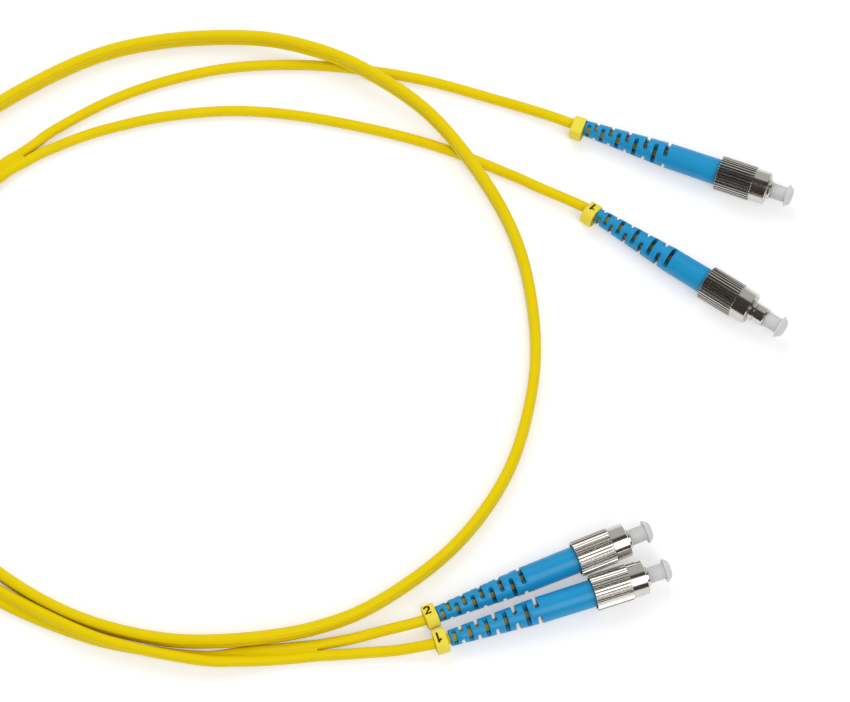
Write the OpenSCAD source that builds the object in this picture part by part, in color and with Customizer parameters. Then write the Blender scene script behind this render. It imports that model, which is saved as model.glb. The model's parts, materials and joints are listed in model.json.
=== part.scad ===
// Duplex fibre optic patch cord laid out on a table: a zip cord with two FC plugs at each end.
// Each plug is modelled along its own x axis: x is 0 at the face of the nose and grows towards
// the socket, so everything behind the nose has a negative x. Lengths are in millimetres.

/* [Plug] */
// Diameter of the socket's thread, which the nut fits
thread_d = 8; // [7.8:0.1:8.2]
// Diameter of the nose that enters the socket
nose_d = 5.6; // [5.4:0.05:5.8]
// Length of the nose in front of the flange
nose_len = 4.8; // [4.5:0.1:5.5]
// Width of the key on the nose
key_w = 2.14; // [2:0.02:2.2]
// Diameter of the ceramic ferrule
ferrule_d = 2.5; // [2.4:0.01:2.5]
// Distance by which the ferrule stands out of the nose
ferrule_out = 0.9; // [0.5:0.1:1.2]
// Distance by which the sprung ferrule can be pushed back
ferrule_float = 0.9; // [0.5:0.1:1]

/* [Coupling nut] */
// Wall between the nut's bore and the tips of the knurled grip
nut_wall = 1; // [0.9:0.05:1.1]
// Wall between the nut's bore and the smooth collar in front of the grip
collar_wall = 0.75; // [0.6:0.05:0.85]
// Whole length of the nut
nut_len = 14.9; // [14.5:0.1:15.5]
// Length of the knurled grip
nut_grip_len = 10.4; // [10.2:0.1:10.8]
// Number of straight ridges round the grip
nut_ridges = 36; // [24:2:48]
// Distance by which the nut slides back over the boot
nut_travel = 5.1; // [4:0.1:5.1]
// Distance by which the nut of plug B already stands back
nut_b_back = 3.8; // [0:0.1:4]

/* [Boot] */
// Diameter of the boot at its tail
boot_tail_d = 4.44; // [4.2:0.1:5]
// Distance from the nose's face to the boot's tail
boot_tail = 56.7; // [54:0.1:60]
// Length of the tapered, slotted tail
boot_taper = 25.1; // [24:0.1:27]
// Number of slot pairs, each turned 90 degrees from the one before
boot_slots = 10; // [6:1:10]
// Width of the middle slots; they widen a little towards the nut
slot_w = 1.15; // [1:0.05:1.3]

/* [Dust cap and marker ring] */
// Diameter of the dust cap's flange
cap_flange_d = 6.5; // [6:0.1:7]
// Distance from the nose's face to the dust cap's end
cap_out = 6.3; // [5.5:0.1:7]
// Diameter of the marker ring
marker_d = 6.9; // [6.6:0.1:6.9]
// Length of the marker ring
marker_len = 3.5; // [3:0.1:4]

/* [Cord] */
// Diameter of one round jacket, and of each half of the zip cord
cord_d = 3; // [2.8:0.1:3]
// Diameter of the buffered fibre inside
buffer_d = 0.9; // [0.6:0.05:0.9]
// Diameter of the spring's wire
wire_d = 0.45; // [0.35:0.05:0.5]

/* [Hidden] */
$fn = 64;

PREFIX = ["a", "b", "c", "d"];
PIECES = ["ferrule", "ferrule_holder", "fibre", "spring", "plug_frame", "stopper", "nut_ring",
    "coupling_nut", "crimp_sleeve", "boot", "dust_cap", "marker_ring", "leg_cord"];

FACE = 0.01;      // gap left between bodies that touch but move apart
TILT = 1.9;       // nose-up tilt of a plug, which stands on its nut's rear rim and on its cord

// Coupling nut: from its rear end, a wide bore as far as the step, then the thread
nut_d = thread_d + 2 * nut_wall;
nut_collar_d = thread_d + 2 * collar_wall;
nut_bore_d = thread_d;
thread_minor_d = thread_d - 0.7;
nut_bevel = 0.15;
nut_step = 9.9;
ring_len = 0.8;
ring_play = 0.05;
flange_front = -nose_len;
flange_rear = flange_front - 1.2;
nut_rear = flange_rear - nut_step;

// Ferrule's holder, the spring round its tail, and the chamber and barrel round the spring
holder_d = ferrule_d + 0.5;
spring_d = holder_d + wire_d + 0.35;
chamber_d = spring_d + wire_d + 0.55;
barrel_d = chamber_d + 1.2;
flange_d = thread_minor_d - 0.3;

// Plug frame: its barrel is as long as the slip ring's travel needs, and a web between the
// nose's bore and the spring chamber carries the ferrule
frame_len = -flange_rear + ring_len + nut_travel + 2 * ring_play;
nose_bore_d = nose_d - 0.9;
web_front = flange_front + 1;
web_rear = flange_front - 0.2;
web_hole_d = ferrule_d + 0.16;

// Where the ferrule, its holder and the spring end
ferrule_rear = web_rear - 3.6;
holder_rear = web_rear - 6.2;
holder_flange_len = 1.4;
spring_rear = -frame_len + 1.4;
spring_front = web_rear - FACE - holder_flange_len - FACE;
spring_turns = 4;

// Stopper, pressed into the frame's rear end, and the crimp sleeve on its tail
boot_front = -frame_len - 1.2;
stopper_neck = boot_front - 2.3;
stopper_tail = boot_front - 9.3;
stopper_tail_d = cord_d + 1;
crimp_d = stopper_tail_d + 1;
crimp_rear = stopper_tail - 5.5;
boot_d = thread_d - 0.4;

// Layout on the table: nose [x, y], heading, roll of the boot's slots, roll of the key, how far
// the nut stands back, and the marker ring's gap behind the boot, sag to the side and roll. The
// nuts of plugs C and D lie side by side.
PLUGS = [
    [46.6, 56.3, -21.4, 54, 150, 0, 0.05, 0.9, 0],
    [43.3, 16.6, -35, 88, 200, nut_b_back, 0.05, 0.7, -33],
    [3.45, -48.4, 21.9, 52, 170, 0, 0.05, -0.15, -26],
    [8.24, -48.4 - nut_d - 0.7, 17.6, 24, 140, 0, 0.7, 0, -5]];

function heading(i) = PLUGS[i][2];
function nut_back(i) = PLUGS[i][5];
function nose_z(i) = nut_d / 2 * cos(TILT) + (nut_back(i) - nut_rear - nut_bevel) * sin(TILT);
function nose(i) = [PLUGS[i][0], PLUGS[i][1], nose_z(i)];
function on_axis(i, x) =
    nose(i) + x * [cos(heading(i)) * cos(TILT), sin(heading(i)) * cos(TILT), sin(TILT)];

// Zip cord from where legs A and B part to where legs C and D part: [x, y, z, turn], where turn
// is the angle of the line from the A-C half to the B-D half above the left-hand side
ZIP_ROUTE = [
    [-168.2, 68.6, 1.5, 0], [-175, 63.5, 1.9, 10], [-191, 47, 2.8, 40], [-200.5, 25, 3, 90],
    [-202, 2.5, 3, 90], [-197, -20, 3, 90], [-184.5, -42.5, 3, 90], [-168, -58, 3, 90],
    [-147, -70, 3, 90], [-124, -76.3, 3.4, 90], [-102.5, -76.8, 4.2, 90], [-81, -73, 3.6, 90],
    [-63.5, -65, 3, 90], [-44, -49.5, 3, 90], [-30, -29.5, 3, 90], [-23, -7, 3, 90],
    [-21.5, 14, 3, 90], [-25.5, 38.5, 3.4, 90], [-35.5, 59, 6, 90], [-51, 80, 6.3, 90],
    [-69.5, 94, 6.5, 90], [-86, 101.5, 6.3, 90], [-104, 106, 4.2, 90], [-129, 105.5, 3, 90],
    [-151, 99.5, 3, 90], [-176, 85, 3, 90], [-194, 69.5, 3, 90], [-209.5, 47.5, 3, 90],
    [-218, 22, 3, 90], [-218, -4.5, 3, 85], [-206, -31, 3, 70], [-189, -50.5, 2.7, 45],
    [-168, -64, 2.6, 40], [-147, -74, 3, 79], [-132, -78.5, 3, 101], [-113, -81.5, 2.8, 125],
    [-102.5, -81, 2.2, 155], [-91.5, -80, 1.5, 180], [-81.5, -79, 1.5, 180]];

// Legs from the zip cord's ends to the straight stretch inside each boot
LEG_ROUTES = [
    [[-165, 73, 1.5], [-159.5, 77.5, 1.5], [-144.5, 86.5, 1.5], [-128.5, 93, 1.5],
        [-109.5, 97.5, 1.5], [-89.5, 98.5, 1.5], [-71.5, 97, 1.5], [-52.5, 93.5, 1.5],
        [-33, 87.5, 1.6], [-19, 82.5, 2.4]],
    [[-163.5, 69.75, 1.5], [-157.6, 72.6, 1.5], [-151.8, 75.1, 1.5], [-144, 77.8, 1.5],
        [-128.5, 81.6, 1.5], [-109, 83.5, 1.5], [-89.5, 82, 1.5], [-65.5, 77, 1.5],
        [-46, 71, 1.5], [-27, 62.5, 1.8], [-19.5, 58.5, 2.4]],
    [[-76.3, -76.55, 1.5], [-71, -75.5, 1.7], [-64.5, -73.9, 2.3]],
    [[-75.95, -80.2, 1.5], [-67.7, -79.6, 1.6], [-60, -79.1, 2.1]]];

// ---- Curves --------------------------------------------------------------------------------

function unit(v) = v / norm(v);
function left_of(t) = unit([-t[1], t[0], 0]);
function xyz(p) = [p[0], p[1], p[2]];

// Smooth curve through points of any dimension, with n steps from each point to the next
function spline_at(p0, p1, p2, p3, t) =
    (2 * p1 + (p2 - p0) * t + (2 * p0 - 5 * p1 + 4 * p2 - p3) * t * t
        + (3 * p1 - p0 - 3 * p2 + p3) * t * t * t) / 2;
function spline(pts, n) = let(last = len(pts) - 1) [
    for (i = [0:last - 1]) for (k = [0:n - 1])
        spline_at(i == 0 ? 2 * pts[0] - pts[1] : pts[i - 1], pts[i], pts[i + 1],
            i + 2 > last ? 2 * pts[last] - pts[last - 1] : pts[i + 2], k / n),
    pts[last]];

function tangent(c, i) = let(last = len(c) - 1)
    unit(xyz(c[min(i + 1, last)]) - xyz(c[max(i - 1, 0)]));

// Skin over rings of equal point counts, closed at both ends
module skin(rings) {
    m = len(rings[0]);
    last = len(rings) - 1;
    polyhedron(
        points = [for (r = rings) for (p = r) p],
        faces = concat(
            [[for (j = [0:m - 1]) j]],
            [for (i = [0:last - 1]) for (j = [0:m - 1])
                let(k = (j + 1) % m) each [[i * m + j, (i + 1) * m + j, i * m + k],
                    [i * m + k, (i + 1) * m + j, (i + 1) * m + k]]],
            [[for (j = [m - 1:-1:0]) last * m + j]]));
}

// Ring round curve point i: each outline point is [distance, angle from the left-hand side]
function ring_at(c, i, outline, turn) =
    let(t = tangent(c, i), side = left_of(t), up = cross(t, side))
    [for (o = outline) xyz(c[i]) + o[0] * (cos(o[1] + turn) * side + sin(o[1] + turn) * up)];

// ---- Outlines and helpers for turned pieces --------------------------------------------------

// Solid of revolution about x from an outline of [x, radius] points
module turned(outline) {
    rotate([0, 90, 0]) rotate_extrude() polygon([for (p = outline) [p[1], p[0]]]);
}

// Cylinder along x between two places
module rod(x0, x1, d) {
    translate([min(x0, x1), 0, 0]) rotate([0, 90, 0]) cylinder(h = abs(x1 - x0), d = d);
}

// Moves a piece from the plug's own frame to plug i's place on the table
module place(i) {
    translate(nose(i)) rotate([0, 0, heading(i)]) rotate([0, -TILT, 0]) children();
}

// ---- Pieces of one plug ----------------------------------------------------------------------

// Ceramic cylinder with a tapered tip, polished round at the end
module ferrule() {
    r = ferrule_d / 2;
    color("white") turned([[ferrule_rear, 0], [ferrule_rear, r - 0.2], [ferrule_rear + 0.2, r],
        [ferrule_out - 0.5, r], [ferrule_out - 0.12, r - 0.5], [ferrule_out - 0.03, 0.35],
        [ferrule_out, 0]]);
}

// Metal flange and tail tube that the ferrule is pressed into
module ferrule_holder() {
    front = web_rear - FACE;
    color("silver") difference() {
        union() {
            rod(front - holder_flange_len, front, chamber_d - 0.3);
            rod(holder_rear, front, holder_d);
        }
        rod(ferrule_rear, front + 1, ferrule_d);
        rod(holder_rear - 1, ferrule_rear + 0.1, buffer_d + 0.1);
    }
}

// Buffered fibre behind the ferrule; it ends short of the jacket, to leave room to move
module fibre() {
    color("white") rod(ferrule_rear - 0.1, stopper_tail + 0.2 + ferrule_float, buffer_d);
}

// Compression spring that pushes the ferrule forward
module spring() {
    turn_rings = 8;
    wire_r = wire_d / 2;
    steps = spring_turns * turn_rings;
    from = spring_rear + wire_r + FACE;
    pitch = (spring_front - wire_r - FACE - from) / spring_turns;
    echo(least_spring_gap_mm = pitch - wire_d);
    color("silver") skin([for (i = [0:steps]) let(a = i * 360 / turn_rings)
        [for (k = [0:5]) let(r = spring_d / 2 + wire_r * cos(k * 60))
            [from + pitch * i / turn_rings - wire_r * sin(k * 60), r * cos(a), r * sin(a)]]]);
}

// Metal body: nose with a key and a groove, flange, and barrel with the spring chamber
module plug_frame(key_roll) {
    nose_r = nose_d / 2;
    color("silver") difference() {
        union() {
            turned([[0, 0], [0, nose_r - 0.3], [-0.3, nose_r], [-2.8, nose_r],
                [-2.8, nose_r - 0.2], [-3.4, nose_r - 0.2], [-3.4, nose_r],
                [flange_front, nose_r], [flange_front, flange_d / 2], [flange_rear, flange_d / 2],
                [flange_rear, barrel_d / 2], [-frame_len, barrel_d / 2], [-frame_len, 0]]);
            rotate([key_roll, 0, 0]) translate([flange_front - 0.2, -key_w / 2, nose_r - 0.3])
                cube([1.7, key_w, 0.9]);
        }
        rod(web_front, 1, nose_bore_d);
        rod(-frame_len - 1, 1, web_hole_d);
        rod(-frame_len - 1, web_rear, chamber_d);
    }
}

// Metal stopper: spigot in the frame, collar behind it, neck and ridged tail for the crimp
module stopper() {
    tail_r = stopper_tail_d / 2;
    ridge_pitch = 1.2;
    ridges = floor((stopper_neck - stopper_tail - 0.6) / ridge_pitch);
    color("silver") difference() {
        union() {
            rod(-frame_len, spring_rear, chamber_d);
            rod(boot_front, -frame_len, flange_d + 0.2);
            rod(stopper_neck, boot_front, crimp_d);
            rod(stopper_tail, stopper_neck, stopper_tail_d - 0.3);
            for (i = [0:ridges - 1]) translate([stopper_tail + 0.6 + i * ridge_pitch, 0, 0])
                turned([[0, 0], [0, tail_r - 0.15], [0.3, tail_r], [0.6, tail_r], [0.6, 0]]);
        }
        rod(boot_front + 0.4, 0, holder_d + 0.4);
        rod(stopper_tail - 1, 0, buffer_d + 0.7);
    }
}

// Split ring that rides on the barrel and carries the nut
module nut_ring(back) {
    slit = 1.5;
    front = flange_rear - ring_play - back;
    color("silver") difference() {
        rod(front - ring_len, front, nut_bore_d + 0.4);
        rod(front - ring_len - 1, front + 1, barrel_d + 0.16);
        translate([front - ring_len - 1, -slit / 2, 0]) cube([ring_len + 2, slit, nut_bore_d]);
    }
}

// Threaded nut: ridged grip behind, smooth collar in front, stepped bore with the ring's groove
module coupling_nut(back) {
    tip_r = nut_d / 2;
    root_r = tip_r - 0.3;
    collar_r = nut_collar_d / 2;
    collar_bevel = 0.2;
    color("silver") translate([nut_rear - back, 0, 0]) difference() {
        union() {
            intersection() {
                rotate([90, 0, 90]) linear_extrude(nut_grip_len) polygon([
                    for (i = [0:nut_ridges - 1]) each [for (s = [[0, root_r], [0.3, tip_r],
                        [0.7, tip_r]]) let(a = (i + s[0]) * 360 / nut_ridges)
                        s[1] * [cos(a), sin(a)]]]);
                turned([[0, 0], [0, tip_r - nut_bevel], [nut_bevel, tip_r + 0.01],
                    [nut_grip_len - nut_bevel, tip_r + 0.01], [nut_grip_len, tip_r - nut_bevel],
                    [nut_grip_len, 0]]);
            }
            turned([[nut_grip_len - 1, 0], [nut_grip_len - 1, collar_r],
                [nut_len - collar_bevel, collar_r], [nut_len, collar_r - collar_bevel],
                [nut_len, 0]]);
        }
        rod(-1, 2, nut_bore_d + 0.9);
        rod(-1, nut_step, nut_bore_d);
        rod(nut_step - ring_len - 2 * ring_play, nut_step, nut_bore_d + 0.6);
        rod(0, nut_len + 1, thread_minor_d);
        turned([[nut_len - 0.4, 0], [nut_len - 0.4, thread_minor_d / 2],
            [nut_len + 0.1, thread_minor_d / 2 + 0.5], [nut_len + 0.1, 0]]);
    }
}

// Metal sleeve crimped over the stopper's tail and the cord's jacket
module crimp_sleeve() {
    front = stopper_neck - 0.2;
    front_bore_r = stopper_tail_d / 2 + 0.05;
    rear_bore_r = cord_d / 2 + 0.05;
    rear_r = rear_bore_r + 0.55;
    color("silver") turned([[front, front_bore_r], [front, crimp_d / 2],
        [stopper_tail + 1, crimp_d / 2], [stopper_tail, rear_r], [crimp_rear, rear_r],
        [crimp_rear, rear_bore_r],
        [stopper_tail, rear_bore_r], [stopper_tail, front_bore_r]]);
}

// Rubber boot: tapered tail with slot pairs that cross over, plain sleeve in front
module boot(roll) {
    first = 1.42;
    front_r = boot_d / 2;
    tail_r = boot_tail_d / 2;
    color("dodgerblue") difference() {
        turned([[boot_front, 0], [boot_front, front_r - 0.2], [boot_front - 0.2, front_r],
            [boot_taper - boot_tail, front_r - 0.15], [-boot_tail + 0.2, tail_r + 0.02],
            [-boot_tail, tail_r - 0.2], [-boot_tail, 0]]);
        rod(crimp_rear - 1, 0, crimp_d + 0.2);
        rod(-boot_tail - 1, crimp_rear, cord_d + 0.3);
        for (i = [0:boot_slots - 1]) {
            u = i / (boot_slots - 1);
            x = first + (boot_taper - first - 0.2) * u * (0.76 + 0.24 * u);
            w = slot_w + 0.02 * (i - 5);
            web = 0.93 + 0.024 * i;
            rotate([roll + 90 * (i % 2), 0, 0]) translate([x - boot_tail, 0, 0])
                for (side = [0, 180]) rotate([side + 90, 0, 0]) translate([0, web + w / 2, 0])
                    linear_extrude(10, center = true) union() {
                        circle(d = w);
                        translate([-w / 2, 0]) square([w, 5]);
                    }
        }
    }
}

// Soft dust cap: a sleeve in the nose over the ferrule, with a button-shaped flange to pull it by
module dust_cap() {
    r = cap_flange_d / 2;
    sleeve_r = nose_bore_d / 2 - 0.15;
    bore_r = ferrule_d / 2 + 0.02;
    inner = web_front + ferrule_float + 0.2;
    flange = cap_out - 1.8;
    color("gainsboro") turned([[inner, bore_r], [inner, sleeve_r - 0.2], [inner + 0.3, sleeve_r],
        [flange, sleeve_r], [flange, r - 0.1], [flange + 0.1, r], [flange + 0.4, r - 0.05],
        [cap_out - 0.3, r - 1], [cap_out - 0.05, r - 1.4], [cap_out, r - 2], [cap_out, 0],
        [ferrule_out + 0.3, 0], [ferrule_out + 0.3, bore_r]]);
}

// Loose marker ring on the cord, with one flat side for its number
module marker_ring(gap, sag, roll) {
    rear = -boot_tail - gap - marker_len;
    module flat_round(d, top, length) {
        rotate([90, 0, 90]) linear_extrude(length) intersection() {
            circle(d = d);
            translate([-d, -d]) square([2 * d, d + top]);
        }
    }
    color("yellow") translate([rear, -sag, 0]) rotate([roll, 0, 0]) difference() {
        flat_round(marker_d, marker_d / 2 - 0.95, marker_len);
        translate([-1, 0, 0]) flat_round(cord_d + 2.4, cord_d / 2 + 0.45, marker_len + 2);
    }
}

// ---- Cords -----------------------------------------------------------------------------------

// Round leg from the zip cord's end to the stopper
module leg_cord(i) {
    zip = spline(ZIP_ROUTE, 3);
    zip_end = i < 2 ? 0 : len(zip) - 1;
    side = i == 1 || i == 2 ? 1 : -1;
    start = xyz(zip[zip_end]) + side * cord_d / 2 * left_of(tangent(zip, zip_end));
    curve = concat(spline(concat([start], LEG_ROUTES[i],
        [for (x = [-boot_tail - 5.3, -boot_tail]) on_axis(i, x)]), 2),
        [on_axis(i, stopper_tail)]);
    outline = [for (k = [0:7]) [cord_d / 2, 22.5 + 45 * k]];
    color("gold") skin([for (k = [0:len(curve) - 1]) ring_at(curve, k, outline, 0)]);
}

// Zip cord: two round halves joined along a thin waist, turning as it runs
module duplex_cord() {
    r = cord_d / 2;
    lobe = [for (a = [-150, -90, -45, 0, 45, 90, 150]) [r + r * cos(a), r * sin(a)]];
    outline = [for (s = [1, -1]) for (p = lobe) [norm(p), atan2(s * p[1], s * p[0])]];
    curve = spline(ZIP_ROUTE, 3);
    color("gold") skin([for (k = [0:len(curve) - 1]) ring_at(curve, k, outline, curve[k][3])]);
}

// ---- Assembly --------------------------------------------------------------------------------

module piece(i, name) {
    children();
}

for (i = [0:3]) {
    piece(i, "ferrule") place(i) ferrule();
    piece(i, "ferrule_holder") place(i) ferrule_holder();
    piece(i, "fibre") place(i) fibre();
    piece(i, "spring") place(i) spring();
    piece(i, "plug_frame") place(i) plug_frame(PLUGS[i][4]);
    piece(i, "stopper") place(i) stopper();
    piece(i, "nut_ring") place(i) nut_ring(nut_back(i));
    piece(i, "coupling_nut") place(i) coupling_nut(nut_back(i));
    piece(i, "crimp_sleeve") place(i) crimp_sleeve();
    piece(i, "boot") place(i) boot(PLUGS[i][3]);
    piece(i, "dust_cap") place(i) dust_cap();
    piece(i, "marker_ring") place(i) marker_ring(PLUGS[i][6], PLUGS[i][7], PLUGS[i][8]);
    piece(i, "leg_cord") leg_cord(i);
}
duplex_cord();
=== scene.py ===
"""Looks of the duplex fibre patch cord: finishes for the CAD pieces, smooth cords, ring numbers,
floor, light and camera. Lengths are in metres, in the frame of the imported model, except where a
comment says millimetres."""
import json
import math

import bpy
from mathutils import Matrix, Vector


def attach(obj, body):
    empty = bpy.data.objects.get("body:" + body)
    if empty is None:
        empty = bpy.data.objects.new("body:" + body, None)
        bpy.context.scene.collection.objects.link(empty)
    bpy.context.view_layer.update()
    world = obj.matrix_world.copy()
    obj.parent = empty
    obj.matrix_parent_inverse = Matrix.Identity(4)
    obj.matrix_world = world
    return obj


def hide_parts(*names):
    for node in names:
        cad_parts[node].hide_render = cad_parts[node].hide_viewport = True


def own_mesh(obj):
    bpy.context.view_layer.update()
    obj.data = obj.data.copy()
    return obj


MM = 0.001
PLUGS = "abcd"

# ---- Camera: looks down on the table from the front ------------------------------------------
LOOK_AT = Vector((-52.4, 8.9, 0)) * MM
ELEVATION = math.radians(68)
DISTANCE = 845 * MM
SENSOR = 36
FOCAL_PIXELS = 3000
IMAGE_WIDTH = 850

# ---- Studio ----------------------------------------------------------------------------------
# Colours that gloss shows beyond the table
REAR_WALL = (0.60, 0.60, 0.59)
DARK_ROOM = (0.05, 0.04, 0.03)
WALL_EDGE = (0.64, 0.70)  # how far to the rear, from 0 to 1, the dark ends and the wall begins
TENT = 0.5  # brightness of the world as light; the wall and the dark room only show in gloss
TABLE = (0.78, 0.78, 0.79, 1)
TABLE_GLOW = 0.37  # lifts the lit table to white
TABLE_HALF = 3.0
LAMP_TARGET = (-0.05, 0, 0)
# Softboxes: place, size across and along the rise, watts, and whether gloss shows them
SOFTBOXES = {"front": ((0.25, -0.6, 1.0), (0.5, 0.95), 4.5, True),
             "rear": ((-0.25, 0.65, 0.85), (0.9, 0.7), 3.5, False)}

# ---- Plugs, as in part.scad ------------------------------------------------------------------
# In millimetres; a place on a plug's axis counts forward from its nose
TILT = math.radians(1.9)
NUT_R = 5.0
NUT_RIM = 15.75  # from the nose back to the nut's rim, which rests on the table
NOSES = {"a": (46.6, 56.3, -21.4, 0), "b": (43.3, 16.6, -35, 3.8),
         "c": (3.45, -48.4, 21.9, 0), "d": (8.24, -59.1, 17.6, 0)}  # x, y, heading, nut back
STOPPER_TAIL = -22.5
BOOT_TAIL = -56.7
STRAIGHT = 5.3  # stretch of leg behind the boot that stays on the plug's axis
RING_LEN = 3.5
RING_FLAT = 2.5  # from the ring's middle to its flat
RINGS = {"a": (0.05, 0.9, 0), "b": (0.05, 0.7, -33),
         "c": (0.05, -0.15, -26), "d": (0.7, 0, -5)}  # gap behind the boot, sag, roll
# Number on each ring: digit, its shift along and across the flat, and its height, which is
# negative where the number is turned round
NUMERALS = {"b": ("1", -0.4, -0.1, 3.4),
            "c": ("2", -0.35, 0.4, -2.7),
            "d": ("1", -0.6, 0.3, 3.0)}
INK_WIDTH = 0.58
INK_SUNK, INK_PROUD = 0.02, 0.03  # how far the ink reaches into and out of the flat
MITRE = 0.6  # least cosine of a corner's half turn that an outline still follows in full

# ---- Cords -----------------------------------------------------------------------------------
CORD_R = 1.5  # of each half of the zip cord, in millimetres
LEG_R = 1.493  # a hair less, so that a leg's start stays inside its half
HALF_SIDES, LEG_SIDES = 18, 28
GROOVE = 138  # degrees from the outermost line of a half to the edge of the groove
ZIP_STEPS, LEG_STEPS = 14, 10  # curve points from each point of a route to the next
JOIN_STEPS = 4  # points of the zip cord's path that each leg runs along inside it
# Routes as in part.scad, in metres; the zip cord's also give its twist in degrees
ZIP_ROUTE = [
    (-0.1682, 0.0686, 0.0015, 0), (-0.175, 0.0635, 0.0019, 10), (-0.191, 0.047, 0.0028, 40),
    (-0.2005, 0.025, 0.003, 90), (-0.202, 0.0025, 0.003, 90), (-0.197, -0.02, 0.003, 90),
    (-0.1845, -0.0425, 0.003, 90), (-0.168, -0.058, 0.003, 90), (-0.147, -0.07, 0.003, 90),
    (-0.124, -0.0763, 0.0034, 90), (-0.1025, -0.0768, 0.0042, 90), (-0.081, -0.073, 0.0036, 90),
    (-0.0635, -0.065, 0.003, 90), (-0.044, -0.0495, 0.003, 90), (-0.03, -0.0295, 0.003, 90),
    (-0.023, -0.007, 0.003, 90), (-0.0215, 0.014, 0.003, 90), (-0.0255, 0.0385, 0.0034, 90),
    (-0.0355, 0.059, 0.006, 90), (-0.051, 0.08, 0.0063, 90), (-0.0695, 0.094, 0.0065, 90),
    (-0.086, 0.1015, 0.0063, 90), (-0.104, 0.106, 0.0042, 90), (-0.129, 0.1055, 0.003, 90),
    (-0.151, 0.0995, 0.003, 90), (-0.176, 0.085, 0.003, 90), (-0.194, 0.0695, 0.003, 90),
    (-0.2095, 0.0475, 0.003, 90), (-0.218, 0.022, 0.003, 90), (-0.218, -0.0045, 0.003, 85),
    (-0.206, -0.031, 0.003, 70), (-0.189, -0.0505, 0.0027, 45), (-0.168, -0.064, 0.0026, 40),
    (-0.147, -0.074, 0.003, 79), (-0.132, -0.0785, 0.003, 101), (-0.113, -0.0815, 0.0028, 125),
    (-0.1025, -0.081, 0.0022, 155), (-0.0915, -0.08, 0.0015, 180),
    (-0.0815, -0.079, 0.0015, 180)]
LEG_ROUTES = {
    "a": [(-0.165, 0.073, 0.0015), (-0.1595, 0.0775, 0.0015), (-0.1445, 0.0865, 0.0015),
          (-0.1285, 0.093, 0.0015), (-0.1095, 0.0975, 0.0015), (-0.0895, 0.0985, 0.0015),
          (-0.0715, 0.097, 0.0015), (-0.0525, 0.0935, 0.0015), (-0.033, 0.0875, 0.0016),
          (-0.019, 0.0825, 0.0024)],
    "b": [(-0.1635, 0.06975, 0.0015), (-0.1576, 0.0726, 0.0015), (-0.1518, 0.0751, 0.0015),
          (-0.144, 0.0778, 0.0015), (-0.1285, 0.0816, 0.0015), (-0.109, 0.0835, 0.0015),
          (-0.0895, 0.082, 0.0015), (-0.0655, 0.077, 0.0015), (-0.046, 0.071, 0.0015),
          (-0.027, 0.0625, 0.0018), (-0.0195, 0.0585, 0.0024)],
    "c": [(-0.0763, -0.07655, 0.0015), (-0.071, -0.0755, 0.0017), (-0.0645, -0.0739, 0.0023)],
    "d": [(-0.07595, -0.0802, 0.0015), (-0.0677, -0.0796, 0.0016), (-0.06, -0.0791, 0.0021)]}


# ---- Geometry helpers ------------------------------------------------------------------------

CREASE = math.radians(50)  # a tube's edges that turn more than this are shaded sharp


def plug_frame(p):
    """(nose centre, axis towards the socket, left-hand side, up) of plug p, in metres."""
    x, y, heading, back = NOSES[p]
    h = math.radians(heading)
    z = NUT_R * math.cos(TILT) + (NUT_RIM + back) * math.sin(TILT)
    axis = Vector((math.cos(h) * math.cos(TILT), math.sin(h) * math.cos(TILT), math.sin(TILT)))
    side = Vector((-math.sin(h), math.cos(h), 0))
    return Vector((x, y, z)) * MM, axis, side, axis.cross(side)


def in_plug(p, x, y=0.0, z=0.0):
    """Point in metres from millimetres along plug p's axis, to its left and up."""
    nose, axis, side, up = plug_frame(p)
    return nose + (axis * x + side * y + up * z) * MM


def spline(points, steps):
    """Catmull-Rom curve through points of any dimension, steps from each point to the next."""
    pts = [Vector(q) for q in points]
    padded = [2 * pts[0] - pts[1]] + pts + [2 * pts[-1] - pts[-2]]
    out = []
    for p0, p1, p2, p3 in zip(padded, padded[1:], padded[2:], padded[3:]):
        for k in range(steps):
            t = k / steps
            out.append((2 * p1 + (p2 - p0) * t + (2 * p0 - 5 * p1 + 4 * p2 - p3) * t ** 2
                        + (3 * p1 - p0 - 3 * p2 + p3) * t ** 3) / 2)
    return out + [pts[-1]]


def tube(name, curve, outline, turns=None):
    """Mesh tube: outline is [(distance, angle)] round each curve point, turned by turns."""
    path = [Vector(c[:3]) for c in curve]
    turns = turns or [0.0] * len(path)
    verts, faces, m = [], [], len(outline)
    for i, c in enumerate(path):
        t = (path[min(i + 1, len(path) - 1)] - path[max(i - 1, 0)]).normalized()
        side = Vector((-t.y, t.x, 0)).normalized()
        up = t.cross(side)
        for dist, angle in outline:
            a = angle + math.radians(turns[i])
            verts.append(c + (side * math.cos(a) + up * math.sin(a)) * dist * MM)
    for i in range(len(path) - 1):
        for j in range(m):
            k = (j + 1) % m
            faces.append((i * m + j, (i + 1) * m + j, (i + 1) * m + k, i * m + k))
    faces.append(tuple(range(m)))
    faces.append(tuple(reversed([(len(path) - 1) * m + j for j in range(m)])))
    mesh = bpy.data.meshes.new(name)
    mesh.from_pydata([tuple(v) for v in verts], [], faces)
    mesh.shade_smooth()
    mesh.set_sharp_from_angle(angle=CREASE)
    obj = bpy.data.objects.new(name, mesh)
    bpy.context.scene.collection.objects.link(obj)
    return obj, path


# ---- Materials -------------------------------------------------------------------------------

# Patterns, in features per metre
PLASTIC_MOTTLE, PLASTIC_SHEEN = 160, 900
METAL_MOTTLE, METAL_SHEEN, METAL_GRAIN = 350, 1200, 4000
# Depth of the surface grain, and how far roughness strays below and above its value
PLASTIC_RELIEF, METAL_RELIEF = 0.05 * MM, 0.02 * MM
PLASTIC_SPREAD, METAL_SPREAD = (0.05, 0.07), (0.04, 0.06)
METAL_BUMP = 0.03
# Painted shade: metal's colour is darkened in its corners by METAL_SHADE, within METAL_REACH of
# them.
METAL_SHADE, METAL_REACH = 0.8, 0.8 * MM  # how much metal darkens in corners, and how near them
CORNER_SAMPLES, EDGE_SAMPLES = 8, 12


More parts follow.
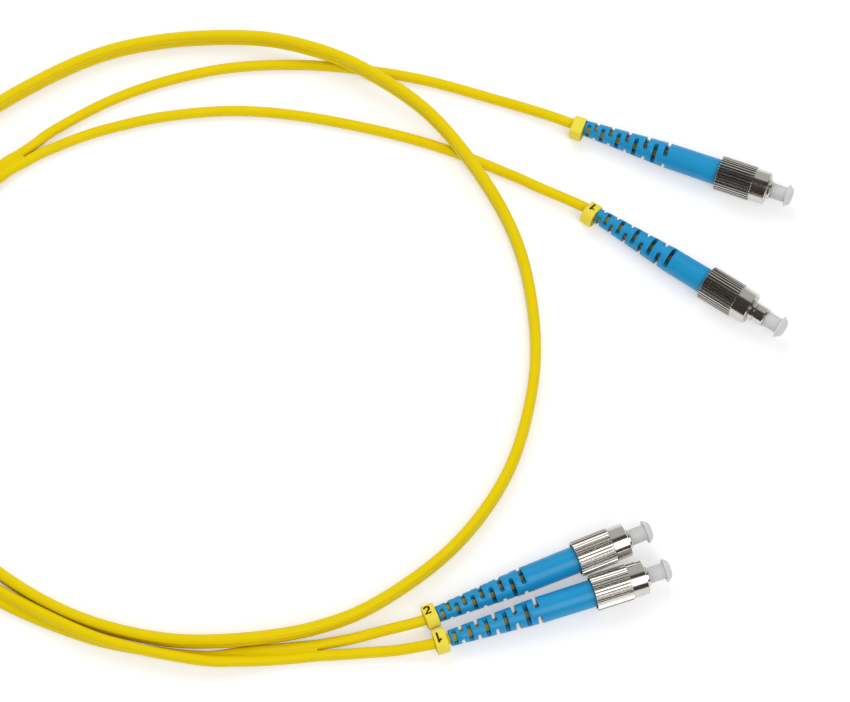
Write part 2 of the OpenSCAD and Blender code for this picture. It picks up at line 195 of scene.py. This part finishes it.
def new_material(name):
    """(material, nodes, links, its Principled shader)."""
    mat = bpy.data.materials.new(name)
    mat.use_nodes = True
    tree = mat.node_tree
    return mat, tree.nodes, tree.links, tree.nodes["Principled BSDF"]


def noise(nodes, links, scale, detail=3.0):
    """Noise in object space; scale is in features per metre."""
    coord = nodes.new("ShaderNodeTexCoord")
    tex = nodes.new("ShaderNodeTexNoise")
    tex.inputs["Scale"].default_value = scale
    tex.inputs["Detail"].default_value = detail
    links.new(coord.outputs["Object"], tex.inputs["Vector"])
    return tex.outputs["Fac"]


def vary_colour(nodes, links, shader, fac, dark, light, shade, reach):
    """Base colour between dark and light, and painted shade: towards black by shade in corners
    within reach, found by ambient occlusion.
    """
    mix = nodes.new("ShaderNodeMix")
    mix.data_type = "RGBA"
    mix.inputs["A"].default_value = (*dark, 1)
    mix.inputs["B"].default_value = (*light, 1)
    links.new(fac, mix.inputs["Factor"])
    painted_corner_shade = nodes.new("ShaderNodeAmbientOcclusion")
    painted_corner_shade.samples = CORNER_SAMPLES
    painted_corner_shade.inputs["Distance"].default_value = reach
    ramp = nodes.new("ShaderNodeMapRange")
    ramp.inputs["To Min"].default_value = 1 - shade
    links.new(painted_corner_shade.outputs["AO"], ramp.inputs["Value"])
    dim = nodes.new("ShaderNodeMix")
    dim.data_type = "RGBA"
    dim.blend_type = "MULTIPLY"
    dim.inputs["Factor"].default_value = 1
    links.new(mix.outputs["Result"], dim.inputs["A"])
    links.new(ramp.outputs["Result"], dim.inputs["B"])
    links.new(dim.outputs["Result"], shader.inputs["Base Color"])


def vary_roughness(nodes, links, shader, fac, rough, spread):
    ramp = nodes.new("ShaderNodeMapRange")
    ramp.inputs["To Min"].default_value = rough - spread[0]
    ramp.inputs["To Max"].default_value = rough + spread[1]
    links.new(fac, ramp.inputs["Value"])
    links.new(ramp.outputs["Result"], shader.inputs["Roughness"])


def add_bump(nodes, links, shader, height, strength, distance, edge=0.0):
    """Surface grain, over edges rounded to the radius edge."""
    bump = nodes.new("ShaderNodeBump")
    if edge:
        rounding = nodes.new("ShaderNodeBevel")
        rounding.samples = EDGE_SAMPLES
        rounding.inputs["Radius"].default_value = edge
        links.new(rounding.outputs["Normal"], bump.inputs["Normal"])
    bump.inputs["Strength"].default_value = strength
    bump.inputs["Distance"].default_value = distance
    links.new(height, bump.inputs["Height"])
    links.new(bump.outputs["Normal"], shader.inputs["Normal"])


def plastic(name, dark, light, rough, grain, bump, soft=0.0, soft_radius=0.5 * MM, specular=0.5,
            tint=(1, 1, 1), shade=0.5, reach=1.5 * MM):
    """Moulded or extruded plastic or rubber with a slight mottle, a fine surface grain and shade
    painted into its corners.
    """
    mat, nodes, links, shader = new_material(name)
    mottle = noise(nodes, links, PLASTIC_MOTTLE)
    vary_colour(nodes, links, shader, mottle, dark, light, shade, reach)
    sheen = noise(nodes, links, PLASTIC_SHEEN)
    vary_roughness(nodes, links, shader, sheen, rough, PLASTIC_SPREAD)
    add_bump(nodes, links, shader, noise(nodes, links, grain, 2), bump, PLASTIC_RELIEF)
    shader.inputs["Specular IOR Level"].default_value = specular
    shader.inputs["Specular Tint"].default_value = (*tint, 1)
    if soft:
        shader.inputs["Subsurface Weight"].default_value = soft
        shader.inputs["Subsurface Radius"].default_value = (1, 0.95, 0.9)
        shader.inputs["Subsurface Scale"].default_value = soft_radius
    return mat


def metal(name, dark, light, rough, edge=0.0):
    """Plated or bare metal with faint handling marks and shade painted into its corners."""
    mat, nodes, links, shader = new_material(name)
    shader.inputs["Metallic"].default_value = 1
    marks = noise(nodes, links, METAL_MOTTLE, 5)
    vary_colour(nodes, links, shader, marks, dark, light, METAL_SHADE, METAL_REACH)
    vary_roughness(nodes, links, shader, noise(nodes, links, METAL_SHEEN), rough, METAL_SPREAD)
    grain = noise(nodes, links, METAL_GRAIN, 2)
    add_bump(nodes, links, shader, grain, METAL_BUMP, METAL_RELIEF, edge)
    return mat


# shade and reach: how strongly, and within what distance of corners, shade is painted into each
# colour; the boot's slots get the most.
MATERIALS = {
    "cord_yellow": plastic("jacket", (0.88, 0.65, 0.0), (0.94, 0.72, 0.002), 0.42, 5000, 0.08,
                           0.1, 0.4 * MM, tint=(1, 0.95, 0.15), shade=0.3),
    "boot_blue": plastic("boot_rubber", (0.007, 0.29, 0.61), (0.010, 0.34, 0.68), 0.34, 6000,
                         0.12, tint=(0.7, 0.95, 1), shade=0.9, reach=2 * MM),
    "marker_yellow": plastic("marker_plastic", (0.97, 0.79, 0.06), (1.0, 0.84, 0.085), 0.45, 4000,
                             0.12, 0.2, 0.6 * MM, tint=(1, 1, 0.5), shade=0.25),
    "cap_plastic": plastic("cap_polyethylene", (0.66, 0.66, 0.655), (0.71, 0.71, 0.705), 0.45,
                           3500, 0.1, 1.0, 2.5 * MM, specular=0.25, shade=0.0),
    "buffer": plastic("buffer_coating", (0.85, 0.84, 0.80), (0.92, 0.91, 0.88), 0.4, 5000, 0.05),
    "zirconia": plastic("zirconia", (0.88, 0.87, 0.83), (0.93, 0.92, 0.89), 0.15, 5000, 0.02,
                        0.15, 0.5 * MM),
    "nickel": metal("nickel_satin", (0.60, 0.57, 0.53), (0.72, 0.69, 0.65), 0.18,
                    edge=0.12 * MM),
    "nut_nickel": metal("nickel_bright", (0.56, 0.54, 0.50), (0.70, 0.68, 0.64), 0.16,
                        edge=0.05 * MM),
    "spring_steel": metal("spring_steel", (0.52, 0.52, 0.52), (0.66, 0.66, 0.66), 0.30),
    "crimp_metal": metal("crimped_nickel", (0.58, 0.56, 0.53), (0.70, 0.68, 0.65), 0.32),
}
# The legs' jacket inside the boots, where it shows through the slots: a darker copy of the jacket
# with full shade painted into its corners, painted shade for the little light that reaches it
# there.
SHADED_JACKET_IN_BOOT = plastic("jacket_painted_shade_in_boot", (0.80, 0.54, 0.0), (0.86, 0.60, 0.002), 0.45, 5000,
                         0.08, shade=1, reach=2.5 * MM)
INK = plastic("marker_ink", (0.085, 0.035, 0.0), (0.115, 0.05, 0.0), 0.6, 3000, 0.05, specular=0)

# Width of the rounded edges, by a node's name without its plug's letter
EDGES = {"marker_ring": 0.35 * MM, "dust_cap": 0.25 * MM, "boot": 0.08 * MM}
WELD = 0.0005 * MM  # points of a CAD piece this near each other are joined first
SHARP = math.radians(30)  # a piece's edges that turn more than this are rounded


def dress(obj, slot):
    obj.data.materials.clear()
    obj.data.materials.append(MATERIALS[slot])


def soften(obj, width):
    """Rounds a CAD piece's sharp edges in the render."""
    weld = obj.modifiers.new("join", "WELD")
    weld.merge_threshold = WELD
    bevel = obj.modifiers.new("round", "BEVEL")
    bevel.width = width
    bevel.segments = 2
    bevel.limit_method = "ANGLE"
    bevel.angle_limit = SHARP
    bevel.harden_normals = True


def dress_nodes():
    for sub in frame["record"]["subparts"]:
        obj = frame["nodes"][sub["node"]]
        dress(obj, sub["material_slot"])
        width = EDGES.get(sub["node"][2:])
        if width:
            soften(obj, width)


# ---- Cord meshes and springs -----------------------------------------------------------------

def rounded(count, start=0.0, end=360.0, offset=0.0, radius=CORD_R):
    """Outline of a circle of that radius whose centre stands offset radii to the side."""
    out = []
    for k in range(count):
        a = math.radians(start + (end - start) * k / (count - 1 if end - start < 360 else count))
        x, y = radius * (offset + math.cos(a)), radius * math.sin(a)
        out.append((math.hypot(x, y), math.atan2(y, x)))
    return out


def make_zip_cord():
    half = rounded(HALF_SIDES, -GROOVE, GROOVE, 1)
    outline = half + [(d, a + math.pi) for d, a in half]
    curve = spline(ZIP_ROUTE, ZIP_STEPS)
    obj, path = tube("zip_cord", curve, outline, [c[3] for c in curve])
    dress(obj, "cord_yellow")
    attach(obj, "cord_set")
    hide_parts("duplex_cord")
    return path


def make_spring(p):
    """The CAD spring again, as a mesh of its own on the cord set."""
    mesh = frame["nodes"][f"{p}_spring"].data.copy()
    obj = bpy.data.objects.new(f"spring_{p}", mesh)
    bpy.context.scene.collection.objects.link(obj)
    dress(obj, "spring_steel")
    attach(obj, "cord_set")
    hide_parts(f"{p}_spring")
    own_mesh(obj)


def make_leg(p, zip_path):
    """Leg p, which starts a little inside its half of the zip cord to hide the join."""
    ends = zip_path if p in "ab" else zip_path[::-1]
    forward = [(ends[k] - ends[k + 1]).normalized() for k in range(JOIN_STEPS)]
    half = CORD_R * MM * (1 if p in "ac" else -1)
    inside = [ends[k] + Vector((-forward[k].y, forward[k].x, 0)).normalized() * half
              for k in reversed(range(JOIN_STEPS))]
    loose = spline([inside[-1], *LEG_ROUTES[p], in_plug(p, BOOT_TAIL - STRAIGHT),
                    in_plug(p, BOOT_TAIL)], LEG_STEPS)
    obj, path = tube(f"leg_{p}", inside[:-1] + loose + [in_plug(p, STOPPER_TAIL)],
                     rounded(LEG_SIDES, radius=LEG_R))
    dress(obj, "cord_yellow")
    obj.data.materials.append(SHADED_JACKET_IN_BOOT)
    # Faces ahead of the boot's tail take the darker jacket: painted shade inside the boot.
    tail = in_plug(p, BOOT_TAIL)
    axis = plug_frame(p)[1]
    for face in obj.data.polygons:
        face.material_index = int((face.center - tail).dot(axis) > 0)
    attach(obj, "cord_set")
    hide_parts(f"{p}_leg_cord")


# ---- Numbers on the marker rings ---------------------------------------------------------------

# Centre line of each number, upright, in heights of the number
STROKES = {"1": [[(0, 1), (0, 0)], [(-0.3, 0.7), (0, 0.8)]],
           "2": [[(-0.28, 0.76), (-0.2, 0.9), (-0.03, 0.95), (0.17, 0.9), (0.25, 0.74),
                  (0.16, 0.53), (-0.27, 0.06), (0.3, 0.06)]]}


def stroke_outline(line, width):
    """Closed outline of a stroke of that width along a line, with trimmed corners."""
    sides = [], []
    for i, q in enumerate(line):
        before = (q - line[i - 1]).normalized() if i else None
        after = (line[i + 1] - q).normalized() if i + 1 < len(line) else None
        t = ((before or after) + (after or before)).normalized()
        reach = width / 2 / max(t.dot(before or after), MITRE)
        n = Vector((-t.y, t.x)) * reach
        sides[0].append(q + n)
        sides[1].append(q - n)
    return sides[0] + sides[1][::-1]


def make_numeral(p):
    """Printed number on the flat of ring p, thin and just proud of it."""
    gap, sag, roll = RINGS[p]
    digit, along, across, height = NUMERALS[p]
    middle = BOOT_TAIL - gap - RING_LEN / 2 + along
    r = math.radians(roll)
    verts, faces = [], []
    for line in STROKES[digit]:
        outline = stroke_outline([Vector(q) for q in line], INK_WIDTH / abs(height))
        base, n = len(verts), len(outline)
        for level in (RING_FLAT - INK_SUNK, RING_FLAT + INK_PROUD):
            for q in outline:
                x = middle - q.x * height
                y = across - (q.y - 0.5) * height
                verts.append(in_plug(p, x, -sag + y * math.cos(r) - level * math.sin(r),
                                     y * math.sin(r) + level * math.cos(r)))
        faces.append([base + k for k in range(n)])
        faces.append([base + n + k for k in reversed(range(n))])
        faces += [[base + (k + 1) % n, base + k, base + n + k, base + n + (k + 1) % n]
                  for k in range(n)]
    mesh = bpy.data.meshes.new(f"number_{p}")
    mesh.from_pydata([tuple(v) for v in verts], [], faces)
    mesh.materials.append(INK)
    obj = bpy.data.objects.new(f"number_{p}", mesh)
    bpy.context.scene.collection.objects.link(obj)
    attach(obj, f"{p}_marker")


# ---- Floor, light and camera -----------------------------------------------------------------

def make_floor():
    mesh = bpy.data.meshes.new("floor")
    s = TABLE_HALF
    mesh.from_pydata([(-s, -s, 0), (s, -s, 0), (s, s, 0), (-s, s, 0)], [], [(0, 1, 2, 3)])
    floor = bpy.data.objects.new("floor", mesh)
    bpy.context.scene.collection.objects.link(floor)
    mat, nodes, links, shader = new_material("white_table")
    shader.inputs["Base Color"].default_value = TABLE
    shader.inputs["Roughness"].default_value = 0.9
    shader.inputs["Specular IOR Level"].default_value = 0.1
    glow = nodes.new("ShaderNodeEmission")
    glow.inputs["Strength"].default_value = TABLE_GLOW
    path = nodes.new("ShaderNodeLightPath")
    seen = nodes.new("ShaderNodeMath")
    seen.operation = "MAXIMUM"
    links.new(path.outputs["Is Camera Ray"], seen.inputs[0])
    links.new(path.outputs["Is Glossy Ray"], seen.inputs[1])
    none = nodes.new("ShaderNodeMixShader")
    links.new(seen.outputs[0], none.inputs["Fac"])
    links.new(glow.outputs[0], none.inputs[2])
    both = nodes.new("ShaderNodeAddShader")
    links.new(shader.outputs[0], both.inputs[0])
    links.new(none.outputs[0], both.inputs[1])
    links.new(both.outputs[0], nodes["Material Output"].inputs["Surface"])
    mesh.materials.append(mat)


def make_world():
    """A pale wall behind the table and a dark room above and in front of it."""
    world = bpy.data.worlds.new("studio")
    bpy.context.scene.world = world
    world.use_nodes = True
    nodes, links = world.node_tree.nodes, world.node_tree.links
    coord = nodes.new("ShaderNodeTexCoord")
    split = nodes.new("ShaderNodeSeparateXYZ")
    links.new(coord.outputs["Generated"], split.inputs["Vector"])
    rearward = nodes.new("ShaderNodeMapRange")
    rearward.inputs["From Min"].default_value = -1
    links.new(split.outputs["Y"], rearward.inputs["Value"])
    ramp = nodes.new("ShaderNodeValToRGB")
    ramp.color_ramp.elements[0].position = WALL_EDGE[0]
    ramp.color_ramp.elements[0].color = (*DARK_ROOM, 1)
    ramp.color_ramp.elements[1].position = WALL_EDGE[1]
    ramp.color_ramp.elements[1].color = (*REAR_WALL, 1)
    links.new(rearward.outputs["Result"], ramp.inputs["Fac"])
    path = nodes.new("ShaderNodeLightPath")
    seen = nodes.new("ShaderNodeMix")
    seen.data_type = "RGBA"
    seen.inputs["A"].default_value = (TENT, TENT, TENT, 1)
    links.new(path.outputs["Is Glossy Ray"], seen.inputs["Factor"])
    links.new(ramp.outputs["Color"], seen.inputs["B"])
    links.new(seen.outputs["Result"], nodes["Background"].inputs["Color"])


def make_softbox(name, place, size, power, reflected):
    """Rectangular lamp that looks at the object."""
    data = bpy.data.lights.new(name, "AREA")
    data.shape = "RECTANGLE"
    data.size, data.size_y = size
    data.energy = power
    lamp = bpy.data.objects.new(name, data)
    lamp.visible_glossy = reflected
    lamp.location = place
    lamp.rotation_mode = "QUATERNION"
    lamp.rotation_quaternion = (Vector(LAMP_TARGET) - Vector(place)).to_track_quat("-Z", "Y")
    bpy.context.scene.collection.objects.link(lamp)


def make_camera():
    data = bpy.data.cameras.new("camera")
    data.sensor_width = SENSOR
    data.lens = FOCAL_PIXELS / IMAGE_WIDTH * SENSOR
    data.clip_start, data.clip_end = 0.01, 20
    cam = bpy.data.objects.new("camera", data)
    back = Vector((0, -math.cos(ELEVATION), math.sin(ELEVATION)))
    cam.location = LOOK_AT + back * DISTANCE
    cam.rotation_mode = "QUATERNION"
    cam.rotation_quaternion = (-back).to_track_quat("-Z", "Y")
    bpy.context.scene.collection.objects.link(cam)
    bpy.context.scene.camera = cam


# ---- Scene -----------------------------------------------------------------------------------

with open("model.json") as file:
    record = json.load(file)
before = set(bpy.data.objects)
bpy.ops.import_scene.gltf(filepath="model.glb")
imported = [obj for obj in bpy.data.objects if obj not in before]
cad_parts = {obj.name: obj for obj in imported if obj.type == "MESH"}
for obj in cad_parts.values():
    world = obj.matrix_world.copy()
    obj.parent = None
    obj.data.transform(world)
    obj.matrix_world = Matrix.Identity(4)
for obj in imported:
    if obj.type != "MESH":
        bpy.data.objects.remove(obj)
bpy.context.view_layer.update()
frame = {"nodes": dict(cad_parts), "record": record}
bpy.context.scene.view_settings.view_transform = "Standard"

make_camera()
zip_path = make_zip_cord()
for p in PLUGS:
    make_leg(p, zip_path)
    make_spring(p)
dress_nodes()
for p in NUMERALS:
    make_numeral(p)
make_floor()
make_world()
for name, softbox in SOFTBOXES.items():
    make_softbox(name, *softbox)
